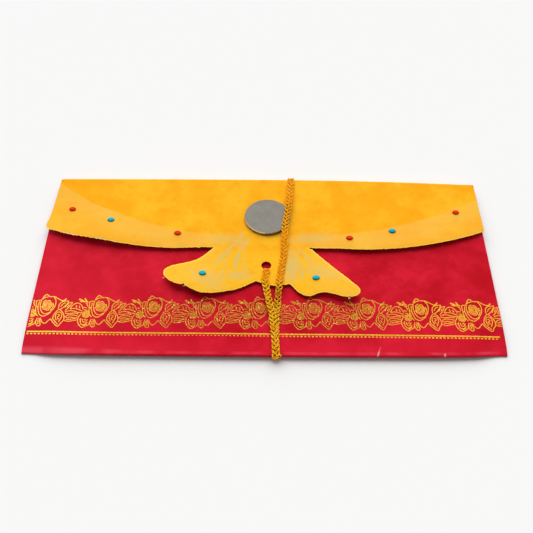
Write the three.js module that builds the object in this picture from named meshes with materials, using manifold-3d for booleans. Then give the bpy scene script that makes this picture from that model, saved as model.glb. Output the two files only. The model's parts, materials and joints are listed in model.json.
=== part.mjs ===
// A gift envelope for banknotes: a pocket folded from one sheet of printed card, whose flap is cut as a
// butterfly. A coin and eight flat-backed stones are glued to the flap, and a flat braided cord comes up
// through a hole in it and goes once round the envelope's short way.
// Millimetres, +X along the fold to the right, +Y from the bottom fold to the top fold, +Z up through the
// front. The origin is the centre of the surface that the closed envelope lies on, front up.
import * as THREE from 'three';
import { mergeVertices } from 'three/addons/utils/BufferGeometryUtils.js';
import Module from 'manifold-3d';

// Card and pocket
const LENGTH = 190; // left edge to right edge
const HEIGHT = 93; // bottom fold to top fold
const CARD = 0.35; // one thickness of card
const GLUE = 0.1; // glue line between two sheets
const MOUTH_DROP = 12; // top fold down to the pocket's mouth
const TAB_WIDTH = 14; // side tab that is folded in and glued down
const TAB_MARGIN = 3; // bare card between a tab's end and the fold or mouth
const TAB_SLANT = 5; // how far a tab's end runs back over its width
const JOINT_GAP = 0.15; // clearance where two sheets of the fold end at each other
const PANEL_COLUMNS = 4; // a panel's face is laid out in fields: some lie clear of the cord and the flap
const PANEL_ROWS = 2;

// Flap: a place on an upper wing is in from the pocket's side edge, and any other is right of the centre
// line; the second value of each is down from the top fold
const FLAP_LIFT = 1.2; // how far the closed flap stands off the front
const WING_OVERHANG = 0.4; // how far each wing's corner reaches past the pocket's side
const WING_SIDE = 29.5; // the flap's straight side edge
const WING_LEAD = [18, 37.2]; // pulls the upper wing's edge into its first curve
const WING_BELLY = [33, 39.9]; // pulls it level again
const WING_LEVEL = [52, 40.7]; // from here to the notch the edge is straight
const LEFT_NOTCH = [-22.6, 40.2];
const LEFT_SHOULDER = [-30, 47];
const LEFT_TIP_TOP = [-40.6, 51.2];
const LEFT_TIP = [-42.8, 54.9];
const LEFT_UNDER = [-39.6, 58.5];
const LEFT_LOBE = [-33.4, 61.1];
const LEFT_LOW = [-26.2, 64.8];
const LEFT_SWELL = [-14.1, 63.1];
const LEFT_CUSP = [-4.2, 58];
const BODY_LOW = [3, 60.2];
const RIGHT_CUSP = [9.8, 59.2];
const RIGHT_FRONT_LOBE = [16.8, 65.5];
const RIGHT_DIP = [23.7, 63.9];
const RIGHT_LOW = [34.6, 66.1];
const RIGHT_TIP = [38.8, 63];
const RIGHT_RISE = [34.2, 56.7];
const RIGHT_NOTCH = [18.9, 39.9];
const HOLE = [0.1, 49.6]; // punched hole for the cord
const HOLE_R = 1.9;

// Coin on the flap
const COIN = [0.4, 22.9];
const COIN_R = 10;
const COIN_THICK = 1.4;
const RIM_WIDTH = 0.8; // the coin's raised rim
const RIM_RISE = 0.12;
const COIN_GLUE = 0.15; // thickness of the glue under the coin
const GLUE_R = 7.5;
const GLUE_SPILL = 0.7; // glue squeezed out past the coin's lower edge
const SPILL_WIDTH = 1.8;

// Flat-backed stones, placed like the flap's outline
const WING_STONES = {
  stone_left_outer: [8.6, 18.9, 'red'],
  stone_left_middle: [26.6, 25.6, 'turquoise'],
  stone_left_inner: [56.4, 32.5, 'red'],
  stone_right_inner: [58.9, 34.4, 'red'],
  stone_right_middle: [40, 30, 'turquoise'],
  stone_right_outer: [10.6, 18.4, 'red'],
};
const LOWER_STONES = {
  stone_left_lower: [-26.5, 54.8, 'turquoise'],
  stone_right_lower: [20.9, 56.4, 'turquoise'],
};
const STONE_R = 1.4;
const STONE_HIGH = 0.95;
const STONE_GIRDLE = 0.3; // straight band above the flat back
const STONE_TABLE = 0.55; // the flat top's share of the stone's radius
const STONE_SIDES = 12;

// Cord
const CORD_WIDTH = 3;
const CORD_THICK = 0.8;
const CORD_GAP = 0.15; // clearance between the cord and what it lies on
const CORD_EDGE = 0.35; // the thinner side edge's share of the cord's thickness
const END_GAP = 0.3; // clearance between a cord's end and the knot it goes into
const STOPPER_R = 2.6; // knot under the hole, wider than the hole
const STOPPER_THICK = 1;
const EDGE_KNOT_WIDTH = 4.2; // knot on the bottom fold
const ROUTE_STEPS = 3; // rings of the cord for each point of its route
const KNOT_START = 85; // degrees round the bottom fold, from the back, seen from the right
const KNOT_END = 180;
const TUCKED_END = 145;

// Heights over the surface the envelope lies on, from the back strand of the cord upwards
const BACK_Z = CORD_THICK + CORD_GAP;
const TAB_Z = BACK_Z + CARD + GLUE;
const FRONT_Z = TAB_Z + CARD + GLUE;
const FRONT_TOP = FRONT_Z + CARD;
const FLAP_Z = FRONT_TOP + FLAP_LIFT;
const FLAP_TOP = FLAP_Z + CARD;
const COIN_Z = FLAP_TOP + COIN_GLUE;
const COIN_TOP = COIN_Z + COIN_THICK;

// Folds: each is half a ring of card about a line along X or Y
const TOP_R = (FLAP_TOP - BACK_Z) / 2;
const TOP_AXIS_Z = BACK_Z + TOP_R;
const BOTTOM_R = (FRONT_TOP - BACK_Z) / 2;
const BOTTOM_AXIS_Z = BACK_Z + BOTTOM_R;
const SIDE_R = (TAB_Z + CARD - BACK_Z) / 2;

const X = new THREE.Vector3(1, 0, 0);
const Y = new THREE.Vector3(0, 1, 0);
const Z = new THREE.Vector3(0, 0, 1);
const RIGHT_ANGLE = Math.PI / 2;
const OUTLINE_STEPS = 8;
const FOLD_STEPS = 10;

const down = (drop) => HEIGHT / 2 - drop; // a place below the top fold
const up = (rise) => rise - HEIGHT / 2; // a place above the bottom fold
const TOP_AXIS_Y = down(TOP_R);
const BOTTOM_AXIS_Y = up(BOTTOM_R);

const wasm = await Module();
wasm.setup();

const group = new THREE.Group();

const PRINTED_RED = { color: 0xc8142d, roughness: 0.5, metalness: 0 };
const PRINTED_YELLOW = { color: 0xffb81e, roughness: 0.5, metalness: 0 };
const STEEL = { color: 0x8f8b83, roughness: 0.35, metalness: 1 };
const GLUE_BROWN = { color: 0xa06a28, roughness: 0.4, metalness: 0 };
const GOLD_THREAD = { color: 0xe6b400, roughness: 0.35, metalness: 0.8 };
const STONE_COLOURS = {
  red: { color: 0xdc3214, roughness: 0.12, metalness: 0 },
  turquoise: { color: 0x28afbe, roughness: 0.12, metalness: 0 },
};

function addPart(name, geometry, material) {
  const mesh = new THREE.Mesh(geometry, new THREE.MeshStandardMaterial(material));
  mesh.name = name;
  group.add(mesh);
}

// A sheet with the given outline, its underside at height z
function sheet(shape, thickness, z) {
  const options = { depth: thickness, bevelEnabled: false, curveSegments: OUTLINE_STEPS };
  return new THREE.ExtrudeGeometry(shape, options).translate(0, 0, z);
}

// A flat panel of the pocket, centred along the fold, its underside at height z
function panel(width, bottom, top, z) {
  const slab = new THREE.BoxGeometry(width, top - bottom, CARD, PANEL_COLUMNS, PANEL_ROWS);
  return slab.translate(0, (bottom + top) / 2, z + CARD / 2);
}

// Half a ring of card, open towards +x of the drawing, about the drawing's origin
function halfRing(outer) {
  const shape = new THREE.Shape();
  shape.absarc(0, 0, outer, RIGHT_ANGLE, 3 * RIGHT_ANGLE, false);
  shape.absarc(0, 0, outer - CARD, 3 * RIGHT_ANGLE, RIGHT_ANGLE, true);
  return shape;
}

// A drawing of (y, z) drawn out along X, centred on the middle of the envelope
function alongX(shape, length) {
  const options = { depth: length, bevelEnabled: false, curveSegments: FOLD_STEPS };
  const geometry = new THREE.ExtrudeGeometry(shape, options).translate(0, 0, -length / 2);
  return geometry.applyMatrix4(new THREE.Matrix4().makeBasis(Y, Z, X));
}

function toSolid(geometry) {
  const bare = geometry.clone().deleteAttribute('normal').deleteAttribute('uv');
  const merged = mergeVertices(bare);
  return new wasm.Manifold(new wasm.Mesh({
    numProp: 3,
    vertProperties: new Float32Array(merged.attributes.position.array),
    triVerts: new Uint32Array(merged.index.array),
  }));
}

function toGeometry(solid) {
  const mesh = solid.getMesh();
  const geometry = new THREE.BufferGeometry();
  geometry.setAttribute('position', new THREE.BufferAttribute(new Float32Array(mesh.vertProperties), 3));
  geometry.setIndex(new THREE.BufferAttribute(new Uint32Array(mesh.triVerts), 1));
  geometry.computeVertexNormals();
  return geometry;
}

// Pocket

function backPanel() {
  return panel(LENGTH - 2 * SIDE_R, BOTTOM_AXIS_Y, TOP_AXIS_Y - JOINT_GAP, BACK_Z);
}

function frontPanel() {
  return panel(LENGTH, BOTTOM_AXIS_Y, down(MOUTH_DROP), FRONT_Z);
}

function bottomFold() {
  return alongX(halfRing(BOTTOM_R), LENGTH).translate(0, BOTTOM_AXIS_Y, BOTTOM_AXIS_Z);
}

function topFold() {
  return alongX(halfRing(TOP_R), LENGTH).rotateZ(Math.PI).translate(0, TOP_AXIS_Y, TOP_AXIS_Z);
}

// The right-hand tab: a fold at the pocket's side edge, and a strip that lies on the back panel's inside
function sideTab() {
  const foldX = LENGTH / 2 - SIDE_R;
  const innerX = LENGTH / 2 - TAB_WIDTH;
  const bottom = up(TAB_MARGIN);
  const top = down(MOUTH_DROP + TAB_MARGIN);
  const profile = new THREE.Shape();
  profile.moveTo(innerX, SIDE_R - CARD);
  profile.lineTo(foldX, SIDE_R - CARD);
  profile.absarc(foldX, 0, SIDE_R - CARD, RIGHT_ANGLE, -RIGHT_ANGLE, true);
  profile.absarc(foldX, 0, SIDE_R, -RIGHT_ANGLE, RIGHT_ANGLE, false);
  profile.lineTo(innerX, SIDE_R);
  const options = { depth: top - bottom, bevelEnabled: false, curveSegments: FOLD_STEPS };
  const strip = new THREE.ExtrudeGeometry(profile, options);
  strip.applyMatrix4(new THREE.Matrix4().makeBasis(X, Z, Y.clone().negate()));
  strip.translate(0, top, BACK_Z + SIDE_R);
  const slope = TAB_SLANT / (foldX - innerX);
  const reach = TAB_WIDTH;
  const cut = (edge, inwards) => {
    const wedge = new THREE.Shape();
    wedge.moveTo(foldX - JOINT_GAP, edge);
    wedge.lineTo(innerX - reach, edge + inwards * slope * (foldX - innerX + reach));
    wedge.lineTo(innerX - reach, edge - inwards * reach);
    wedge.lineTo(foldX - JOINT_GAP, edge - inwards * reach);
    return toSolid(sheet(wedge, SIDE_R * 4, BACK_Z - SIDE_R));
  };
  return toGeometry(toSolid(strip).subtract(cut(bottom, 1)).subtract(cut(top, -1)));
}

function mirrored(geometry) {
  const copy = geometry.clone().scale(-1, 1, 1);
  const order = copy.index.array;
  for (let i = 0; i < order.length; i += 3) [order[i], order[i + 1]] = [order[i + 1], order[i]];
  copy.computeVertexNormals();
  return copy;
}

// Flap

const place = ([x, drop]) => [x, down(drop)];
const onWing = (side, [inset, drop]) => [side * (LENGTH / 2 - inset), down(drop)];

function flapShape() {
  const shape = new THREE.Shape();
  const start = TOP_AXIS_Y - JOINT_GAP;
  const corner = LENGTH / 2 + WING_OVERHANG;
  const upperWing = (side) => [WING_LEAD, WING_BELLY, WING_LEVEL].map((point) => onWing(side, point));
  const [leftLead, leftBelly, leftLevel] = upperWing(-1);
  const [rightLead, rightBelly, rightLevel] = upperWing(1);
  const curve = (...points) => shape.splineThru(points.map(([x, y]) => new THREE.Vector2(x, y)));
  shape.moveTo(-LENGTH / 2, start);
  shape.lineTo(-corner, down(WING_SIDE));
  shape.bezierCurveTo(...leftLead, ...leftBelly, ...leftLevel);
  shape.lineTo(...place(LEFT_NOTCH));
  const leftLower = [LEFT_TIP_TOP, LEFT_TIP, LEFT_UNDER, LEFT_LOBE, LEFT_LOW, LEFT_SWELL];
  curve(...[LEFT_SHOULDER, ...leftLower, LEFT_CUSP].map(place));
  curve(...[BODY_LOW, RIGHT_CUSP].map(place));
  curve(...[RIGHT_FRONT_LOBE, RIGHT_DIP, RIGHT_LOW, RIGHT_TIP, RIGHT_RISE, RIGHT_NOTCH].map(place));
  shape.lineTo(...rightLevel);
  shape.bezierCurveTo(...rightBelly, ...rightLead, corner, down(WING_SIDE));
  shape.lineTo(LENGTH / 2, start);
  const hole = new THREE.Path();
  hole.absarc(HOLE[0], down(HOLE[1]), HOLE_R, 0, 4 * RIGHT_ANGLE, true);
  shape.holes.push(hole);
  return shape;
}

function coin() {
  const field = COIN_THICK / 2 - RIM_RISE;
  const bevel = RIM_RISE;
  const rimTop = COIN_THICK / 2;
  const inner = COIN_R - RIM_WIDTH;
  const rim = [[inner, rimTop], [COIN_R - bevel, rimTop], [COIN_R, rimTop - bevel]];
  const half = [[0, field], [inner - bevel, field], ...rim];
  const lower = half.map(([r, z]) => [r, -z]);
  const profile = [...lower, ...half.reverse()].map(([r, z]) => new THREE.Vector2(r, z));
  const disc = new THREE.LatheGeometry(profile, 48).rotateX(RIGHT_ANGLE);
  return disc.translate(COIN[0], down(COIN[1]), COIN_Z + COIN_THICK / 2);
}

// A flat pad of glue with one tongue that shows at the coin's lower edge
function coinGlue() {
  const shape = new THREE.Shape();
  const tongue = SPILL_WIDTH / 2;
  const turn = Math.asin(tongue / GLUE_R);
  const bottom = -RIGHT_ANGLE;
  shape.absarc(0, 0, GLUE_R, bottom + turn, bottom - turn + 4 * RIGHT_ANGLE, false);
  shape.lineTo(-tongue, -COIN_R);
  shape.quadraticCurveTo(0, -COIN_R - 2 * GLUE_SPILL, tongue, -COIN_R);
  return sheet(shape, COIN_GLUE, FLAP_TOP).translate(COIN[0], down(COIN[1]), 0);
}

function stone([x, y]) {
  const base = [[0, 0], [STONE_R, 0], [STONE_R, STONE_GIRDLE]];
  const crown = [[STONE_R * STONE_TABLE, STONE_HIGH], [0, STONE_HIGH]];
  const points = [...base, ...crown].map(([r, z]) => new THREE.Vector2(r, z));
  const cut = new THREE.LatheGeometry(points, STONE_SIDES).rotateX(RIGHT_ANGLE);
  return cut.translate(x, y, FLAP_TOP);
}

// Cord

// A route whose rings are shared out evenly between its points, so that tight bends get close rings
class Route extends THREE.CatmullRomCurve3 {
  constructor(points) {
    super(points.map((p) => new THREE.Vector3(...p)), false, 'centripetal');
  }

  getUtoTmapping(u) {
    return u;
  }

  // The cord lies flat: its width stays across the envelope, along X
  computeFrenetFrames(steps) {
    const tangents = Array.from({ length: steps + 1 }, (_, i) => this.getTangentAt(i / steps));
    const binormals = tangents.map((t) => X.clone().addScaledVector(t, -t.x).normalize());
    const normals = tangents.map((t, i) => new THREE.Vector3().crossVectors(binormals[i], t));
    return { tangents, normals, binormals };
  }
}

// The cord's section: x is its thickness and y its width, with thinner rounded side edges
function cordSection() {
  const flat = CORD_THICK / 2;
  const edge = flat * CORD_EDGE;
  const side = CORD_WIDTH / 2;
  const inset = side - flat;
  const corners = [[flat, inset], [edge, side], [-edge, side], [-flat, inset]];
  const others = corners.map(([x, y]) => [-x, -y]);
  return new THREE.Shape([...corners, ...others].map(([x, y]) => new THREE.Vector2(x, y)));
}

function cordAlong(points) {
  const steps = (points.length - 1) * ROUTE_STEPS;
  return new THREE.ExtrudeGeometry(cordSection(), { steps, extrudePath: new Route(points) });
}

const ON = CORD_GAP + CORD_THICK / 2; // a face to the middle of the cord that lies on it
const ON_FRONT = FRONT_TOP + ON;
const ON_FLAP = FLAP_TOP + ON;
const ON_COIN = COIN_TOP + ON;
const ON_CORD = ON_FRONT + CORD_THICK + CORD_GAP;
const UNDER_BACK = CORD_THICK / 2;

// Round a fold, angle in degrees from straight down, turning out past the envelope's edge
function roundFold(x, axisY, axisZ, radius, out, degrees) {
  const angle = THREE.MathUtils.degToRad(degrees);
  return [x, axisY + out * radius * Math.sin(angle), axisZ - radius * Math.cos(angle)];
}

const COIN_CLEAR = COIN_R + CORD_WIDTH / 2; // the cord is up on the coin's level this far each side
const TOP_X = 11.1;
const BOTTOM_X = 4.2;

const LOOP_ROUTE = [
  [BOTTOM_X, up(BOTTOM_R + END_GAP), ON_FRONT],
  [4.1, up(6), ON_FRONT],
  [4, up(12), ON_FRONT],
  [4.2, up(18), ON_FRONT],
  [4.7, up(23.5), ON_FRONT],
  [5.3, down(RIGHT_LOW[1] - 0.6), ON_FRONT + 0.3],
  [5.8, down(BODY_LOW[1] + 1.6), ON_FLAP + 0.1],
  [6.3, down(HOLE[1] + 6.4), ON_FLAP],
  [7.1, down(HOLE[1]), ON_FLAP],
  [7.8, down(COIN[1] + 20), ON_FLAP + 0.1],
  [8.1, down(COIN[1] + COIN_CLEAR), ON_COIN - 0.3],
  [8.5, down(COIN[1] + COIN_R / 2), ON_COIN],
  [9.2, down(COIN[1]), ON_COIN],
  [9.8, down(COIN[1] - COIN_R / 2), ON_COIN],
  [10.3, down(COIN[1] - COIN_CLEAR), ON_COIN - 0.4],
  ...[180, 150, 120, 90, 60, 30, 0].map((turn) => (
    roundFold(TOP_X, TOP_AXIS_Y, TOP_AXIS_Z, TOP_R + ON, 1, turn)
  )),
  ...[0.99, 0.96, 0.66, 0.34, 0.04, 0.01].map((share) => [
    BOTTOM_X + (TOP_X - BOTTOM_X) * share,
    BOTTOM_AXIS_Y + (TOP_AXIS_Y - BOTTOM_AXIS_Y) * share,
    UNDER_BACK,
  ]),
  ...[0, 30, 60].map((turn) => roundFold(BOTTOM_X, BOTTOM_AXIS_Y, BOTTOM_AXIS_Z, BOTTOM_R + ON, -1, turn)),
];

const STOPPER_Y = down(HOLE[1] + HOLE_R / 3); // the cord stands in the lower half of the hole
const TETHER_START = STOPPER_Y - HOLE_R - CORD_GAP;

const TETHER_ROUTE = [
  [0.2, TETHER_START, ON_FLAP],
  [-0.1, TETHER_START - 2.4, ON_FLAP],
  [-0.5, down(BODY_LOW[1] - 2.6), ON_FLAP],
  [0.1, down(BODY_LOW[1] + 1), ON_FLAP - 0.05],
  [0.8, down(BODY_LOW[1] + 5), ON_CORD + 0.3],
  [1.5, up(24), ON_CORD + 0.1],
  [2.4, up(20), ON_CORD],
  [3.1, up(15), ON_CORD],
  [3.5, up(10), ON_CORD],
  [3.8, up(5), ON_CORD],
  ...[180, 160, TUCKED_END].map((turn) => (
    roundFold(BOTTOM_X, BOTTOM_AXIS_Y, BOTTOM_AXIS_Z, BOTTOM_R + ON + CORD_THICK + CORD_GAP, -1, turn)
  )),
];

// The cord's knotted end: a flattened knot under the flap and a neck that comes up through the hole
function stopperKnot() {
  const low = FLAP_Z - CORD_GAP - STOPPER_THICK / 2;
  const knot = new THREE.SphereGeometry(STOPPER_R, 20, 10);
  knot.scale(1, 1, STOPPER_THICK / 2 / STOPPER_R).translate(HOLE[0], STOPPER_Y, low);
  const bend = (degrees) => {
    const angle = THREE.MathUtils.degToRad(degrees);
    return [HOLE[0], STOPPER_Y - ON * (1 - Math.cos(angle)), FLAP_TOP + ON * Math.sin(angle)];
  };
  const rise = [low, FLAP_Z].map((z) => [HOLE[0], STOPPER_Y, z]);
  const neck = cordAlong([...rise, ...[0, 30, 60, 90].map(bend), [HOLE[0], TETHER_START + END_GAP, ON_FLAP]]);
  return toGeometry(toSolid(knot).add(toSolid(neck)));
}

// The cord's tie on the bottom fold, which both ends of the loop and the strand from the hole go into
function edgeKnot() {
  const inner = BOTTOM_R + CORD_GAP;
  const fromBack = (degrees) => THREE.MathUtils.degToRad(270 - degrees);
  const shape = new THREE.Shape();
  shape.absarc(0, 0, inner + CORD_THICK, fromBack(KNOT_START), fromBack(KNOT_END), true);
  shape.absarc(0, 0, inner, fromBack(KNOT_END), fromBack(KNOT_START), false);
  return alongX(shape, EDGE_KNOT_WIDTH).translate(BOTTOM_X, BOTTOM_AXIS_Y, BOTTOM_AXIS_Z);
}

addPart('back_panel', backPanel(), PRINTED_RED);
addPart('front_panel', frontPanel(), PRINTED_RED);
addPart('bottom_fold', bottomFold(), PRINTED_RED);
const rightTab = sideTab();
addPart('right_side_tab', rightTab, PRINTED_RED);
addPart('left_side_tab', mirrored(rightTab), PRINTED_RED);
addPart('flap_crease', topFold(), PRINTED_YELLOW);
addPart('flap', sheet(flapShape(), CARD, FLAP_Z), PRINTED_YELLOW);
addPart('coin', coin(), STEEL);
addPart('coin_glue', coinGlue(), GLUE_BROWN);
for (const [name, [inset, drop, colour]] of Object.entries(WING_STONES)) {
  addPart(name, stone(onWing(name.includes('left') ? -1 : 1, [inset, drop])), STONE_COLOURS[colour]);
}
for (const [name, [x, drop, colour]] of Object.entries(LOWER_STONES)) {
  addPart(name, stone(place([x, drop])), STONE_COLOURS[colour]);
}
addPart('stopper_knot', stopperKnot(), GOLD_THREAD);
addPart('cord_loop', cordAlong(LOOP_ROUTE), GOLD_THREAD);
addPart('cord_tether', cordAlong(TETHER_ROUTE), GOLD_THREAD);
addPart('edge_knot', edgeKnot(), GOLD_THREAD);

export default group;
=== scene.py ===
import json
import random
from math import atan2, cos, exp, hypot, pi, radians, sin

import bmesh
import bpy
from bmesh.types import BMEdge, BMFace, BMVert
from mathutils import Matrix, Vector, noise
from mathutils.kdtree import KDTree


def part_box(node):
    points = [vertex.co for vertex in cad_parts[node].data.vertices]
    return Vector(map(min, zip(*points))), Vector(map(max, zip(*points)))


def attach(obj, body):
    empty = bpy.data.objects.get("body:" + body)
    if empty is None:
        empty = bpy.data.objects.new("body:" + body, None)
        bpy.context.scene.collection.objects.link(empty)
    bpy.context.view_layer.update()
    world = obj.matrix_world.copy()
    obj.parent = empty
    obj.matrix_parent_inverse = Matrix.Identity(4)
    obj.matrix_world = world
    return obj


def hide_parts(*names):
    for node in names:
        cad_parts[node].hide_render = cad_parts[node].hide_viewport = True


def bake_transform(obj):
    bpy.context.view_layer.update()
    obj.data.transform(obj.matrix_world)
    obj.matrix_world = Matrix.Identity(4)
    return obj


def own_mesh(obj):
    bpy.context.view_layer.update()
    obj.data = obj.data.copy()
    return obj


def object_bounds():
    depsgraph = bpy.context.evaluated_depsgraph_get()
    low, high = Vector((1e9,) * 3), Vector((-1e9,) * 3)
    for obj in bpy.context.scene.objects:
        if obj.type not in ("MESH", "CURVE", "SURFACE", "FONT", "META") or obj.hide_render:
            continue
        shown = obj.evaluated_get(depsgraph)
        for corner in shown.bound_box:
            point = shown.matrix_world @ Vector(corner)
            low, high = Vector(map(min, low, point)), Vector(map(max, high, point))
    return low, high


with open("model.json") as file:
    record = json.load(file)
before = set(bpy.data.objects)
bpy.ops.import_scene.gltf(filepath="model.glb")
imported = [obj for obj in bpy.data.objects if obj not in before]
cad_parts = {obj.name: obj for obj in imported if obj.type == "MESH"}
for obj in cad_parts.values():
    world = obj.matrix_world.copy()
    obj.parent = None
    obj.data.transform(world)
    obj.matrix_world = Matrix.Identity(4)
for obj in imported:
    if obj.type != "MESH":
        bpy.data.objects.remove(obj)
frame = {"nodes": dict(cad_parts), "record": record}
cad_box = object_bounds()
nodes = frame["nodes"]
random.seed(7)

# Sizes in millimetres, in the part's frame
MM = 0.001
WELD = 0.001 * MM  # points nearer to each other than this are made one
NEAR = 0.01 * MM  # points nearer to a line or plane than this lie on it
AXES = "XYZ"


def mm(*place):
    """Millimetres, as a vector in metres."""
    return Vector(place) * MM


def side(node, axis, high):
    """Where a node ends along one axis, at its low or its high side."""
    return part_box(node)[high][AXES.index(axis)] / MM


EDGE_X = side("front_panel", "X", True)
TOP_Y = side("flap_crease", "Y", True)
BOTTOM_Y = side("bottom_fold", "Y", False)
MOUTH_Y = side("front_panel", "Y", True)
BACK_Z = side("back_panel", "Z", False)
FRONT_TOP = side("front_panel", "Z", True)
CARD = FRONT_TOP - side("front_panel", "Z", False)
FLAP_TOP = side("flap", "Z", True)
FLAP_Z = side("flap", "Z", False)
COIN_Z = side("coin", "Z", False)
COIN_TOP = side("coin", "Z", True)
TOP_R = (FLAP_TOP - BACK_Z) / 2
BOTTOM_R = (FRONT_TOP - BACK_Z) / 2
TOP_AXIS = (TOP_Y - TOP_R, BACK_Z + TOP_R)
BOTTOM_AXIS = (BOTTOM_Y + BOTTOM_R, BACK_Z + BOTTOM_R)
CORD_WIDTH = 3
CORD_THICK = 0.8
CORD_GAP = 0.15


def up(rise):
    """A place above the bottom fold."""
    return BOTTOM_Y + rise


def down(drop):
    """A place below the top fold."""
    return TOP_Y - drop


# Camera, as it stood over the envelope
LENS = 54.03
CAMERA_AT = (-0.32, -215.05, 266.64)
PITCH = 51.21
YAW = 0.14
ROLL = -0.68


def make_camera():
    data = bpy.data.cameras.new("camera")
    data.lens = LENS
    data.clip_start = 0.01
    camera = link("camera", data)
    matrix = Matrix.Translation(mm(*CAMERA_AT))
    for degrees, axis in ((-YAW, "Z"), (90 - PITCH, "X"), (-ROLL, "Z")):
        matrix @= Matrix.Rotation(radians(degrees), 4, axis)
    camera.matrix_world = matrix
    bpy.context.scene.camera = camera


# Finishes


def srgb(code):
    """A colour written as #RRGGBB, in linear light."""
    shares = [int(code[i:i + 2], 16) / 255 for i in (1, 3, 5)]
    return (*[c / 12.92 if c <= 0.04045 else ((c + 0.055) / 1.055) ** 2.4 for c in shares], 1)


class Wire:
    """An output socket of a node; arithmetic on it adds Math nodes."""

    def __init__(self, tree, socket):
        self.tree = tree
        self.socket = socket

    def math(self, operation, *values):
        return self.tree.node("Math", {"operation": operation}, dict(enumerate(values)))

    def __add__(self, other):
        return self.math("ADD", self, other)

    __radd__ = __add__

    def __sub__(self, other):
        return self.math("SUBTRACT", self, other)

    def __rsub__(self, other):
        return self.math("SUBTRACT", other, self)

    def __mul__(self, other):
        return self.math("MULTIPLY", self, other)

    __rmul__ = __mul__

    def __abs__(self):
        return self.math("ABSOLUTE", self)

    def over(self, other):
        """The larger of two values."""
        return self.math("MAXIMUM", self, other)


class Tree:
    """A node tree. The node method adds any node."""

    def __init__(self, tree):
        self.tree = tree

    def node(self, kind, settings=None, values=None, out=0):
        made = self.tree.nodes.new("ShaderNode" + kind)
        for key, value in (settings or {}).items():
            setattr(made, key, value)
        for key, value in (values or {}).items():
            self.join(made.inputs[key], value)
        return Wire(self, made.outputs[out])

    def join(self, socket, value):
        """Joins a wire to a socket, or gives it a value or a #RRGGBB colour."""
        if isinstance(value, Wire):
            self.tree.links.new(value.socket, socket)
        else:
            socket.default_value = srgb(value) if isinstance(value, str) else value


class Finish(Tree):
    """A material, whose pattern can follow a piece that bends."""

    def __init__(self, name, specular, follows=False):
        self.material = bpy.data.materials.new(name)
        self.material.use_nodes = True
        super().__init__(self.material.node_tree)
        self.shader = self.tree.nodes["Principled BSDF"]
        self.shader.inputs["Specular IOR Level"].default_value = specular
        if follows:
            self.place = self.node("Attribute", {"attribute_name": "rest"}, out="Vector")
        else:
            self.place = self.node("TexCoord", out="Object")

    def feed(self, **values):
        """Feeds the shader: base_color is its Base Color."""
        for key, value in values.items():
            self.join(self.shader.inputs[key.replace("_", " ").title()], value)
        return self.material

    def axis(self, name):
        """The place along one axis, in millimetres."""
        return self.node("SeparateXYZ", values={0: self.place}, out=name) * (1 / MM)

    def noted(self, name):
        """A value that the piece holds at its points."""
        return self.node("Attribute", {"attribute_name": name}, out="Fac")

    def streak(self, start, end, half, strength, firm=2.2):
        """An oval stroke seen from above: strength along its middle, 0 outside it."""
        start, reach = Vector(start), Vector(end) - Vector(start)
        values = {"Vector": self.place, "Location": (*((start + reach / 2) * MM), 0),
                  "Rotation": (0, 0, atan2(reach.y, reach.x)),
                  "Scale": ((reach.length / 2 + half) * MM, half * MM, 1)}
        oval = self.node("Mapping", {"vector_type": "TEXTURE"}, values)
        inside = self.node("TexGradient", {"gradient_type": "SPHERICAL"}, {"Vector": oval}, out="Fac")
        return self.node("Math", {"operation": "MINIMUM"}, {0: inside * (firm * strength), 1: strength})

    def cloud(self, size, detail=2, rough=0.5, stretch=None):
        """Noise from 0 to 1 in patches of about size millimetres."""
        place = self.place
        if stretch:
            place = self.node("Mapping", values={"Vector": place, "Scale": stretch})
        values = {"Vector": place, "Scale": 1 / (size * MM), "Detail": detail, "Roughness": rough}
        return self.node("TexNoise", values=values)

    def step(self, value, low, high):
        """0 below low, 1 above high, and smooth between."""
        values = {"Value": value, "From Min": low, "From Max": high}
        return self.node("MapRange", {"interpolation_type": "SMOOTHSTEP"}, values)

    def mix(self, share, none, all_of):
        return self.node("Mix", {"data_type": "RGBA"}, {0: share, 6: none, 7: all_of}, out=2)

    def coats(self, colour, *coats):
        """Lays colours over a first one, each by its share."""
        for share, coat in coats:
            colour = self.mix(share, colour, coat)
        return colour

    def bump(self, height, depth):
        """A normal from a height of 0 to 1, depth millimetres deep."""
        return self.node("Bump", values={"Height": height, "Distance": depth * MM})


def fibres(card):
    """The felted surface of card: short fibres over a fine tooth."""
    return 0.6 * card.cloud(0.5, 3, 0.6, (1, 3.2, 1)) + 0.4 * card.cloud(0.16, 2)


# Worn cracks in the red print: start, end, half width, strength
CRACKS = (
    ((45.4, -41.8), (44.4, -44.6), 0.16, 0.3),
    ((44.6, -44), (43.8, -46.6), 0.42, 0.75),
    ((70.3, -45.2), (70.1, -46.6), 0.5, 0.7),
)


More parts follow.
